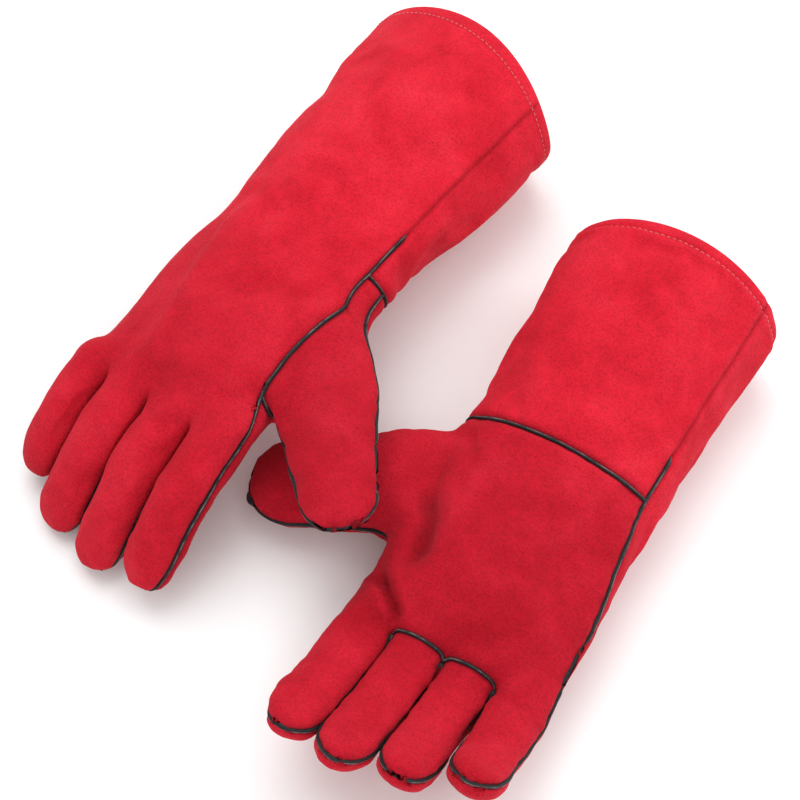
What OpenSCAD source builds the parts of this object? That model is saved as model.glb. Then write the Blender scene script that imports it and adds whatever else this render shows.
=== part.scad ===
// A pair of gauntlet welding gloves, both cut for the right hand.
// One lies palm down with its thumb over the thumb of the other, which lies palm up.
// Each glove is a lined leather shell: hand, cuff and five hinged digits, each made of a back and
// a front panel with a narrow welt standing in the seams between them.
// Glove frame: origin at the wrist, fingers towards -Y, thumb towards +X, back of the hand +Z.

/* [Cuff] */
// Length of the cuff from the wrist to the rim, at its sides
cuff_length = 135; // [130:1:140]
// How much further the rim reaches in the middle of the back
back_rim_bow = 14; // [4:1:16]
// How much further the rim reaches in the middle of the front
front_rim_bow = 8; // [4:1:16]
// Half width of the cuff at its rim
rim_half_width = 63; // [61:0.5:65]
// Half height of the cuff at its rim
rim_half_height = 42; // [39:0.5:43]

/* [Hand] */
// Length of the hand from the wrist to the finger hinges
hand_length = 120; // [118:0.5:122]
// Half width of the hand across the knuckles
knuckle_half_width = 60; // [59.5:0.5:61]
// Half width of the wrist
wrist_half_width = 56; // [55:0.5:57]
// Half height of the wrist
wrist_half_height = 30; // [29:0.5:31]

/* [Fingers] */
// Half height of a finger
finger_half_height = 15.5; // [14:0.5:15.5]
// Length of the index finger from its hinge
index_length = 86; // [80:1:90]
// Length of the middle finger
middle_length = 93; // [85:1:96]
// Length of the ring finger
ring_length = 88; // [80:1:92]
// Length of the pinky
pinky_length = 74; // [68:1:78]

/* [Thumb] */
// Length of the thumb from its hinge
thumb_length = 95; // [90:1:96]
// Half width of the thumb at its base
thumb_half_width = 25; // [22:0.5:25]
// Half height of the thumb at its base
thumb_half_height = 14; // [12:0.5:15]

/* [Leather] */
// Thickness of the split leather
leather = 1.6; // [1.2:0.1:1.7]
// Thickness of the quilted cotton lining
lining = 2; // [1.5:0.1:2.1]
// Width of a welt between two panels
welt_width = 2.4; // [2:0.1:2.6]
// How far a welt stands proud of the leather
welt_proud = 0.8; // [0.4:0.1:0.8]

/* [Hidden] */
GLOVES = ["palmdown", "palmup"];
DIGITS = ["index", "middle", "ring", "pinky", "thumb"];
HAND_PIECES = ["hand_back_leather", "palm_leather", "hand_lining", "wrist_welt", "finger_base_welt",
               "hand_side_welts", "cuff_back_leather", "cuff_front_leather", "cuff_lining", "cuff_side_welts"];
DIGIT_PIECES = ["back_leather", "front_leather", "lining", "welt"];

red = "#c8142c";
dark = "#3a3a3c";
cotton = "#d8d2c4";

gap = 0.25;           // clearance between two sewn pieces
column_step = 20;     // angle between two columns of a shell, in degrees
tip_angle = 84;       // how far a panel closes over a fingertip, in degrees
front_fan = 24;       // how far a finger's front panel turns back around its hinge, in degrees
wrist_bend = 20;      // how far the cuff bends each way at the wrist, in degrees
wrist_fade = 30;      // length over which the notch for the wrist bend runs out

// Where each glove lies: [wrist, [pitch, roll, yaw]]
place = [[[-85.2, 50, 46.2], [2.3, -6, -7]], [[96.6, 6.8, 31.9], [0, 180, 0]]];

// Sections of the hand and cuff: [y, centre x, centre z, half width, half height]
sections = [
    [-hand_length, 1, 10, knuckle_half_width, finger_half_height + 2.5],
    [-102, 1, 9, knuckle_half_width - 1, 21.5],
    [-75, 0, 6, 59, 26],
    [-35, 0, 3, 57.5, 28.5],
    [0, 0, 0, wrist_half_width, wrist_half_height],
    [50, 0, -3, 58.5, 34],
    [95, 0, -7, 61, 39],
    [cuff_length, 0, -10, rim_half_width, rim_half_height]];

// Angle of each seam around the section, from the thumb side over the back: [y, degrees]
thumb_seam = [[-120, 14], [-102, 28], [-90, 42], [-42, 42], [-22, 36], [0, 34], [135, 36]];
pinky_seam = [[-120, 194], [-70, 198], [0, 213], [135, 212]];
// Where the palm leather stops beside the thumb opening
palm_stop = [[-120, 372], [-103, 352], [-94, 312], [-68, 306], [-45, 310], [-30, 320], [-18, 396], [0, 392]];

// Digits: [hinge, splay, half width, half height, length, tip rounding, thumb side seam, far side seam,
// share of the width lost towards the tip]
hinge_z = 10;
fingers = [
    [[43.2, -hand_length, hinge_z], 0.4, 14.2, finger_half_height, index_length, 18, 8, 200, 0.05],
    [[14.4, -hand_length, hinge_z], 0.1, 14, finger_half_height, middle_length, 18, -20, 200, 0.05],
    [[-14.4, -hand_length, hinge_z], -0.1, 14, finger_half_height, ring_length, 18, -20, 200, 0.05],
    [[-42.7, -hand_length, hinge_z], -0.4, 13.5, finger_half_height, pinky_length, 17, -20, 194, 0.05]];
thumbs = [
    [[60, -62, 2], 48, thumb_half_width, thumb_half_height, thumb_length, 19, -4, 184, 0.24],
    [[54, -38, 2], 65, thumb_half_width, thumb_half_height, thumb_length, 21, -4, 184, 0.12]];
// Curl of each digit at its hinge and at its tip, for each glove
curls = [
    [[10, 46], [11, 48], [11, 50], [10, 52], [-8, -2]],
    [[8, 42], [9, 46], [9, 50], [11, 60], [-9, -6]]];

cuff_rows = [cuff_length, 114, 95, 72, 50, 26, 10, 0.5];
cuff_welt_rows = [30, 15, 0.5];
middle_rows = [-10, -18, -30, -45, -57, -68, -81, -94, -103, -108];
hand_back_rows = concat([-0.5], middle_rows, [-111]);
palm_rows = concat([-3.2], middle_rows);
hand_lining_rows = concat([-0.5], middle_rows);
digit_rows = [0, 0.25, 0.5, 0.75, 1, 1.3, 1.6, 1 + tip_angle / 90];

function digit_of(g, k) = k < len(fingers) ? fingers[k] : thumbs[g];
function section_value(y, column) = lookup(y, [for (s = sections) [s[0], s[column]]]);

// How far a wall at height z stands back from the wrist plane, so that the cuff can bend
function notch(y, z) = sign(y) * abs(z) * tan(wrist_bend / 2) * max(0, 1 - abs(y) / wrist_fade);

// A point of the hand or cuff at length y and angle a, d below the outer surface
function body_point(y, a, d) =
    let (w = section_value(y, 3) - d, h = section_value(y, 4) - d,
         z = section_value(y, 2) + h * sin(a),
         bow = (sin(a) > 0 ? back_rim_bow : front_rim_bow) * pow(sin(a) * max(0, y) / cuff_length, 2))
    [section_value(y, 1) + w * cos(a), y + bow + notch(y, z), z];

// The angle that covers a width in millimetres along an ellipse
function degrees_of(mm, w, h, a) = mm * 180 / PI / norm([w * sin(a), h * cos(a)]);
function body_degrees(mm, y, a) = degrees_of(mm, section_value(y, 3), section_value(y, 4), a);
function digit_degrees(mm, digit, a) = degrees_of(mm, digit[2], digit[3], a);

// Rotation about X by a curl angle, which turns a fingertip towards the palm, and about Z by a splay
function curled(v, phi) = [v.x, v.y * cos(phi) - v.z * sin(phi), v.y * sin(phi) + v.z * cos(phi)];
function splayed(v, psi) = [v.x * cos(psi) - v.y * sin(psi), v.x * sin(psi) + v.y * cos(psi), v.z];

// A point of a digit: u runs from 0 at the hinge over 1 where the tip begins to 2 at the tip's pole,
// and below 0 it turns back around the hinge
function digit_point(digit, curl, u, a, d) =
    let (along = max(0, min(u, 1)),
         psi = 90 * max(0, u - 1),
         s = along * (digit[4] - digit[5]) + (digit[5] - d) * sin(psi),
         bend = (curl[1] - curl[0]) / digit[4],
         phi = curl[0] + bend * s,
         radius = 180 / PI / bend,
         centre = radius * [0, sin(curl[0]) - sin(phi), cos(phi) - cos(curl[0])],
         narrow = (1 - digit[8] * along) * cos(psi),
         across = [(digit[2] - d) * narrow * cos(a), 0, (digit[3] - d) * narrow * sin(a)])
    digit[0] + splayed(centre + curled(across, phi + front_fan * max(0, -u)), digit[1]);

function steps(a, b) = let (n = ceil((b - a) / column_step)) [for (i = [0:n]) i / n];
function shifted(table, degrees) = [for (t = table) [t[0], t[1] + degrees]];

half_welt = welt_width / 2 + gap;
lining_top = leather + gap;
lining_bottom = lining_top + lining;

// A closed shell between two grids of points, rows towards the fingertips and columns by rising angle
module shell(outer, inner) {
    m = len(outer);
    n = len(outer[0]);
    function o(i, j) = i * n + j;
    function q(i, j) = (m + i) * n + j;
    faces = concat(
        [for (i = [0:m - 2], j = [0:n - 2]) each [
            [o(i, j), o(i + 1, j), o(i + 1, j + 1)], [o(i, j), o(i + 1, j + 1), o(i, j + 1)],
            [q(i, j), q(i + 1, j + 1), q(i + 1, j)], [q(i, j), q(i, j + 1), q(i + 1, j + 1)]]],
        [for (j = [0:n - 2]) each [
            [o(0, j), o(0, j + 1), q(0, j + 1)], [o(0, j), q(0, j + 1), q(0, j)],
            [o(m - 1, j + 1), o(m - 1, j), q(m - 1, j)], [o(m - 1, j + 1), q(m - 1, j), q(m - 1, j + 1)]]],
        [for (i = [0:m - 2]) each [
            [o(i + 1, 0), o(i, 0), q(i, 0)], [o(i + 1, 0), q(i, 0), q(i + 1, 0)],
            [o(i, n - 1), o(i + 1, n - 1), q(i + 1, n - 1)], [o(i, n - 1), q(i + 1, n - 1), q(i, n - 1)]]]);
    polyhedron(concat([for (r = outer) each r], [for (r = inner) each r]), faces, convexity = 6);
}

// A shell of the hand or cuff over rows of y, between two angles that change with y.
// starts and stops are tables of [y, degrees], and trim is cut off both edges.
module body_shell(rows, starts, stops, top, bottom, trim) {
    shell([for (y = rows) body_row(y, starts, stops, top, trim)],
          [for (y = rows) body_row(y, starts, stops, bottom, trim)]);
}

// One row of a hand or cuff shell: the same number of columns at any y
function body_row(y, starts, stops, d, trim) =
    let (a = lookup(y, starts), b = lookup(y, stops),
         a1 = a + body_degrees(trim, y, a), b1 = b - body_degrees(trim, y, b))
    [for (f = steps(starts[0][1], stops[0][1])) body_point(y, a1 + (b1 - a1) * f, d)];

// A lining behind two panels, with its columns behind theirs
module body_lining(rows, starts, middles, stops) color(cotton)
    shell([for (y = rows) lining_row(y, starts, middles, stops, lining_top)],
          [for (y = rows) lining_row(y, starts, middles, stops, lining_bottom)]);

function lining_row(y, starts, middles, stops, d) =
    let (back = body_row(y, starts, middles, d, half_welt), front = body_row(y, middles, stops, d, half_welt))
    concat(back, front);

// A shell of a digit between two angles
module digit_shell(digit, curl, rows, start, stop, top, bottom, trim) {
    a = start + digit_degrees(trim, digit, start);
    b = stop - digit_degrees(trim, digit, stop);
    fractions = steps(a, b);
    shell([for (u = rows) [for (f = fractions) digit_point(digit, curl, u, a + (b - a) * f, top)]],
          [for (u = rows) [for (f = fractions) digit_point(digit, curl, u, a + (b - a) * f, bottom)]]);
}

// A welt along a side seam
module side_welt(seam, rows) {
    function seam_point(y, side, d) =
        let (a = lookup(y, seam)) body_point(y, a + side * body_degrees(welt_width / 2, y, a), d);
    shell([for (y = rows) [for (side = [-1, 1]) seam_point(y, side, -welt_proud)]],
          [for (y = rows) [for (side = [-1, 1]) seam_point(y, side, leather)]]);
}

module hand_back_leather() color(red)
    body_shell(hand_back_rows, thumb_seam, pinky_seam, 0, leather, half_welt);

module palm_leather() color(red)
    body_shell(palm_rows, pinky_seam, palm_stop, 0, leather, half_welt);

module hand_lining()
    body_lining(hand_lining_rows, thumb_seam, pinky_seam, palm_stop);

module wrist_welt() color(dark)
    body_shell([-0.5, -0.5 - welt_width], pinky_seam, shifted(thumb_seam, 360), -welt_proud, leather, half_welt);

module finger_base_welt() color(dark)
    body_shell([-108.3, -108.3 - welt_width], [[0, 241]], [[0, 298]], -welt_proud, leather, 0);

module hand_side_welts() color(dark) {
    side_welt(thumb_seam, hand_back_rows);
    side_welt(pinky_seam, hand_back_rows);
}

module cuff_back_leather() color(red)
    body_shell(cuff_rows, thumb_seam, pinky_seam, 0, leather, half_welt);

module cuff_front_leather() color(red)
    body_shell(cuff_rows, pinky_seam, shifted(thumb_seam, 360), 0, leather, half_welt);

module cuff_lining()
    body_lining(cuff_rows, thumb_seam, pinky_seam, shifted(thumb_seam, 360));

// The welts run a little way up the cuff, and the seam is plain from there to the rim
module cuff_side_welts() color(dark) {
    side_welt(thumb_seam, cuff_welt_rows);
    side_welt(pinky_seam, cuff_welt_rows);
}

module digit_back_leather(digit, curl) color(red)
    digit_shell(digit, curl, digit_rows, digit[6], digit[7], 0, leather, half_welt);

module digit_front_leather(digit, curl) color(red)
    digit_shell(digit, curl, concat([-1], digit_rows), digit[7], digit[6] + 360, 0, leather, half_welt);

module digit_lining(digit, curl) color(cotton)
    digit_shell(digit, curl, digit_rows, digit[6] + 1, digit[6] + 359, lining_top, lining_bottom, 0);

module digit_welt(digit, curl) color(dark)
    for (a = [digit[6], digit[7]]) {
        reach = digit_degrees(welt_width / 2, digit, a);
        digit_shell(digit, curl, digit_rows, a - reach, a + reach, -welt_proud, leather, 0);
    }

module hand_piece(piece) {
    if (piece == "hand_back_leather") hand_back_leather();
    if (piece == "palm_leather") palm_leather();
    if (piece == "hand_lining") hand_lining();
    if (piece == "wrist_welt") wrist_welt();
    if (piece == "finger_base_welt") finger_base_welt();
    if (piece == "hand_side_welts") hand_side_welts();
    if (piece == "cuff_back_leather") cuff_back_leather();
    if (piece == "cuff_front_leather") cuff_front_leather();
    if (piece == "cuff_lining") cuff_lining();
    if (piece == "cuff_side_welts") cuff_side_welts();
}

module digit_piece(piece, digit, curl) {
    if (piece == "back_leather") digit_back_leather(digit, curl);
    if (piece == "front_leather") digit_front_leather(digit, curl);
    if (piece == "lining") digit_lining(digit, curl);
    if (piece == "welt") digit_welt(digit, curl);
}

for (g = [0:1]) translate(place[g][0]) rotate(place[g][1]) {
    for (p = HAND_PIECES)
        hand_piece(p);
    for (k = [0:4], p = DIGIT_PIECES)
        digit_piece(p, digit_of(g, k), curls[g][k]);
}
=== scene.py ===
"""A pair of red suede gauntlet welding gloves, both right-handed, sewn from leather panels with dark welts.

Each glove is built in its own frame in millimetres, the same one as its CAD: origin at the wrist, fingers towards -Y,
thumb towards +X and the back of the hand +Z. A control cage of rings is subdivided, puffed out by a cloth pass,
given its seams and folds, and cut into one piece for each panel.
"""
import math

import bpy
import numpy as np
from mathutils import Euler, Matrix, Vector, kdtree, noise
from mathutils.bvhtree import BVHTree


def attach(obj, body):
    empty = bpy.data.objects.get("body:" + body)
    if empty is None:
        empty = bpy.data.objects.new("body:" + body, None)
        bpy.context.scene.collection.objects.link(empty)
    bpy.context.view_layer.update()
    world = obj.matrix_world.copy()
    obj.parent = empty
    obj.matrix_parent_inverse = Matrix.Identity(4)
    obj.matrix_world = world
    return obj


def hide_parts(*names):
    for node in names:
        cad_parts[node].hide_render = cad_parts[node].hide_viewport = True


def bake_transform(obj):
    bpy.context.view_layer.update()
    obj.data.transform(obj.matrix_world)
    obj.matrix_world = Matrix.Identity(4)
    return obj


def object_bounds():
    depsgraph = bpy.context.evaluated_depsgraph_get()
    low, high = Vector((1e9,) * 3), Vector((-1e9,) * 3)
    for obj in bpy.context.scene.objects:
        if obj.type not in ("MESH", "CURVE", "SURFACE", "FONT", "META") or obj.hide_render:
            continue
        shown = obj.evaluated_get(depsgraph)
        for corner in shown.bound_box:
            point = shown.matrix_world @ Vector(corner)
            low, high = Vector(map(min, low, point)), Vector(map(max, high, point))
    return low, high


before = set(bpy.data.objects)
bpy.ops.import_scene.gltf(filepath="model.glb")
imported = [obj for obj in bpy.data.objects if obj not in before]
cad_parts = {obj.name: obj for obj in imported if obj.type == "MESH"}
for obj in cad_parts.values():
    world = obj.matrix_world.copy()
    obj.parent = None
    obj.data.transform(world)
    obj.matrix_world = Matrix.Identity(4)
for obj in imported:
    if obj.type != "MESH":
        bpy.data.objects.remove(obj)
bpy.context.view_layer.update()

MM = 0.001

# ---------------------------------------------------------------------------------------------------------- camera
AZIMUTH, ELEVATION = math.radians(31), math.radians(60)
TARGET = Vector((2, 4, 30)) * MM
TOWARDS = Vector((math.sin(AZIMUTH) * math.cos(ELEVATION), -math.cos(AZIMUTH) * math.cos(ELEVATION),
                  math.sin(ELEVATION)))


def aimed(obj, eye, target):
    obj.location = eye
    obj.rotation_euler = (Vector(target) - Vector(eye)).to_track_quat("-Z", "Y").to_euler()
    bpy.context.scene.collection.objects.link(obj)
    return obj


lens = bpy.data.cameras.new("camera")
lens.lens, lens.sensor_width = 85, 36
lens.clip_start = 0.05
camera = aimed(bpy.data.objects.new("camera", lens), TARGET + TOWARDS * 1.0, TARGET)
bpy.context.scene.camera = camera

# ------------------------------------------------------------------------------------------------------ dimensions
GLOVES = ["palmdown", "palmup"]
PLACE = [((-85.2, 50, 46.2), (2.3, -6, -7)), ((96.6, 6.8, 31.9), (0, 180, 0))]
CUFF = 135.0
BACK_BOW, FRONT_BOW = 14.0, 8.0
HAND = 120.0
HINGE_Z = 10.0

# y, centre x, centre z, half width, half height
SECTIONS = np.array([
    [-120, 1, 10, 60, 18], [-102, 1, 9, 59, 21.5], [-75, 0, 6, 59, 26], [-35, 0, 3, 57.5, 28.5],
    [0, 0, 0, 56, 30], [50, 0, -3, 58.5, 34], [95, 0, -7, 61, 39], [135, 0, -10, 63, 42]], float)
THUMB_SEAM = np.array([[-120, 10], [-102, 28], [-90, 42], [-42, 42], [-22, 36], [0, 34], [135, 36]], float)
PINKY_SEAM = np.array([[-120, 194], [-70, 198], [0, 213], [135, 212]], float)
SIDE_ANGLE = np.array([[-120, -12], [-92, 4], [0, 8], [50, 18]], float)
PALM_SIDE_ANGLE = np.array([[-120, -40], [-92, -32], [0, -18], [50, 0]], float)

# hinge, splay, half width, half height, length, tip rounding, taper
FINGERS = [
    [((43.2, -HAND, HINGE_Z), 1.6, 14.8, 15.0, 89, 18, 0.02),
     ((14.4, -HAND, HINGE_Z), -0.8, 14.7, 15.0, 96, 18, 0.02),
     ((-14.4, -HAND, HINGE_Z), -2.4, 14.9, 15.0, 91, 18, 0.02),
     ((-41.6, -HAND, HINGE_Z - 1.5), -2.6, 13.4, 14.5, 72, 17, 0.02)],
    [((43.2, -HAND, HINGE_Z), 0.4, 14.6, 15.0, 85, 18, 0.02),
     ((14.4, -HAND, HINGE_Z), 0.0, 14.5, 15.0, 90, 18, 0.02),
     ((-14.4, -HAND, HINGE_Z), -0.6, 14.6, 15.0, 83, 18, 0.02),
     ((-43.6, -HAND, HINGE_Z - 1.5), -2.2, 15.4, 14.8, 71, 17, 0.04)]]
TIP_THIN = 0.27         # how much of its height a finger loses towards its tip
THUMBS = [((60, -62, 2), 48, 26.5, 15, 95, 19, 0.22), ((54, -38, 2), 65, 28.4, 15, 97, 22, 0.12)]
# How much each cuff, plumper or slacker, differs from the common size: along, and across at the rim on the thumb side
# and on the pinky side
CUFF_STRETCH = [(1.075, 1.03, 1.12), (0.95, 0.965, 0.965)]
CUFF_SKEW = [0.11, 0.0]     # how much further a rim reaches on its pinky side, for each mm across
PINKY_EDGE = [0.90, 1.01]   # width of the hand's pinky side at the knuckles
CURLS = [[(10, 46), (11, 48), (11, 50), (10, 52), (-8, -2)], [(8, 42), (9, 46), (9, 50), (11, 60), (-9, -6)]]
DIGITS = ["index", "middle", "ring", "pinky", "thumb"]

# Angles of the twelve columns of each finger
FINGER_ANGLES = [
    [-18, 10, 42, 72, 102, 132, 160, 184, 222, 258, 290, 317],
    [18, 44, 68, 90, 112, 136, 162, 184, 222, 270, 318, 356],
    [18, 44, 68, 90, 112, 136, 162, 184, 222, 270, 318, 356],
    [18, 44, 68, 90, 112, 138, 168, 194, 228, 270, 315, 356]]
THUMB_ANGLES = [30.0 * i for i in range(12)]

# Columns of the hand, by rising angle from the thumb side seam over the back
COLUMNS = 36
VALLEYS_TOP, VALLEYS_BOTTOM = (4, 8, 12), (30, 26, 22)
PINKY_SEAM_COLUMN, PALM_SIDE_COLUMN, SIDE_COLUMN = 18, 34, 35
# Rows of the hem and cuff: y, depth below the outer surface
HEM_ROWS = [(123, 5.6), (130, 5.6), (135, 5.0), (137.2, 2.8), (135.2, 0.6), (130, 0)]
CUFF_ROWS = [122, 106, 88, 70, 50, 30, 15, 0]
THUMB_ROWS = [(-22, -38, -56, -74, -92), (-8, -22, -38, -55, -72)]
LAST_ROWS = [-106, -96]
HEEL = 3.0              # how far the heel of the thumb stands out at the wrist


def table(t, y, column=1):
    return float(np.interp(y, t[:, 0], t[:, column]))


def smooth(t):
    t = min(1.0, max(0.0, t))
    return t * t * (3 - 2 * t)


def body_point(y, angle, depth=0.0):
    a = math.radians(angle)
    w, h = table(SECTIONS, y, 3) - depth, table(SECTIONS, y, 4) - depth
    bow = (BACK_BOW if math.sin(a) > 0 else FRONT_BOW) * (math.sin(a) * max(0.0, y) / CUFF) ** 2
    return np.array([table(SECTIONS, y, 1) + w * math.cos(a), y + bow, table(SECTIONS, y, 2) + h * math.sin(a)])


def digit_point(digit, curl, u, angle, grow=1.0):
    """A point of a digit: u runs from 0 at the hinge over 1 where the tip begins to 2 at the tip's pole."""
    hinge, splay, w, h, length, tip, taper = digit
    along, psi, a = min(max(u, 0.0), 1.0), math.radians(90 * max(0.0, u - 1)), math.radians(angle)
    s = min(u, 1.0) * (length - tip) + tip * math.sin(psi)
    c0, c1 = (math.radians(x) for x in curl)
    bend = (c1 - c0) / length
    phi = c0 + bend * s
    centre = np.array([0, (math.sin(c0) - math.sin(phi)) / bend, (math.cos(phi) - math.cos(c0)) / bend])
    narrow = (1 - taper * along) * math.cos(psi) * grow
    x, z = w * narrow * math.cos(a), h * narrow * math.sin(a) * (1 - TIP_THIN * along * along)
    p = centre + np.array([x, -z * math.sin(phi), z * math.cos(phi)])
    s0 = math.radians(splay)
    turned = np.array([p[0] * math.cos(s0) - p[1] * math.sin(s0), p[0] * math.sin(s0) + p[1] * math.cos(s0), p[2]])
    return np.array(hinge) + turned


def column_angles(y, points):
    """The angle of each column of the hand at y: even at the wrist, in line with the fingers at the knuckles."""
    seam, far = table(THUMB_SEAM, y), table(PINKY_SEAM, y)
    side, palm_side = 360 + table(SIDE_ANGLE, y), 360 + table(PALM_SIDE_ANGLE, y)
    even = list(np.linspace(seam, far, 19)) + list(np.linspace(far, palm_side, 17))[1:] + [side]
    share = smooth((y + HAND) / 95)
    aligned = list(even)
    for j in range(1, 34):
        if j in (16, 17, PINKY_SEAM_COLUMN):
            continue
        x = points[j][0]
        a = math.degrees(math.acos(max(-1, min(1, (x - 1) / 60))))
        aligned[j] = a if j < PINKY_SEAM_COLUMN else 360 - a
    return [e * share + k * (1 - share) for e, k in zip(even, aligned)]


def knuckles(fingers):
    """The points of the knuckle row, from the first rings of the fingers."""
    points = [None] * COLUMNS
    for k, (finger, angles) in enumerate(zip(fingers, FINGER_ANGLES)):
        ids = knuckle_ring(k)
        for i, j in enumerate(ids):
            if j is None or j in VALLEYS_TOP + VALLEYS_BOTTOM:
                continue
            a = math.radians(angles[i])
            x, z = finger[0][0] + (finger[2] + 0.8) * math.cos(a), finger[0][2] + (finger[3] + 2.2) * math.sin(a)
            points[j] = np.array([x, -HAND, z])
    for k, (top, bottom) in enumerate(zip(VALLEYS_TOP, VALLEYS_BOTTOM)):
        x = (fingers[k][0][0] + fingers[k + 1][0][0]) / 2
        points[top] = np.array([x, -HAND - 2, HINGE_Z + 13.5])
        points[bottom] = np.array([x, -HAND - 1, HINGE_Z - 11.0])
    return points


def knuckle_ring(k):
    """The twelve columns round the base of finger k, None where it meets the web between two fingers."""
    return [
        [35, 0, 1, 2, 3, 4, None, 30, 31, 32, 33, 34],
        [None, 4, 5, 6, 7, 8, None, 26, 27, 28, 29, 30],
        [None, 8, 9, 10, 11, 12, None, 22, 23, 24, 25, 26],
        [None, 12, 13, 14, 15, 16, 17, 18, 19, 20, 21, 22]][k]


class Cage:
    """A control cage: points, faces, a panel name for each face, and named chains of points."""

    def __init__(self):
        self.points, self.faces, self.panels, self.chains = [], [], [], {}
        self.hem, self.flap = [], []        # faces of the turned rim, and of its inner flap

    def add(self, p):
        self.points.append(np.array(p, float))
        return len(self.points) - 1

    def face(self, panel, *ids):
        self.faces.append(ids)
        self.panels.append(panel)


def tube_rings(cage, digit, curl, angles, first, us, skews, front, name, grow):
    """Rings of a digit from its first ring of points to the pole at its tip."""
    rings = [first]
    for u, skew in zip(us, skews):
        ring = []
        for a in angles:
            inner = (1 - math.cos(math.radians(a))) / 2
            p = digit_point(digit, curl, u + skew * inner, a, grow)
            if skew > 0:        # the web between the heel and the thumb
                p += np.array([0.6, 1, 0]) * 16 * skew * (1 - inner)
            ring.append(cage.add(p))
        rings.append(ring)
    pole = cage.add(digit_point(digit, curl, 2, 0) * 1.0 + tip_push(digit, curl))
    for r0, r1 in zip(rings, rings[1:]):
        for i in range(12):
            panel = name + ("_front" if i in front else "_back")
            cage.face(panel, r0[i], r0[(i + 1) % 12], r1[(i + 1) % 12], r1[i])
    for i in range(12):
        cage.face(name + ("_front" if i in front else "_back"), rings[-1][i], rings[-1][(i + 1) % 12], pole)
    return rings, pole


def tip_push(digit, curl):
    """A little past the pole, because subdivision draws a tip in."""
    d = digit_point(digit, curl, 2, 0) - digit_point(digit, curl, 1.5, 0, 0)
    return d / np.linalg.norm(d) * 0.8


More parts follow.
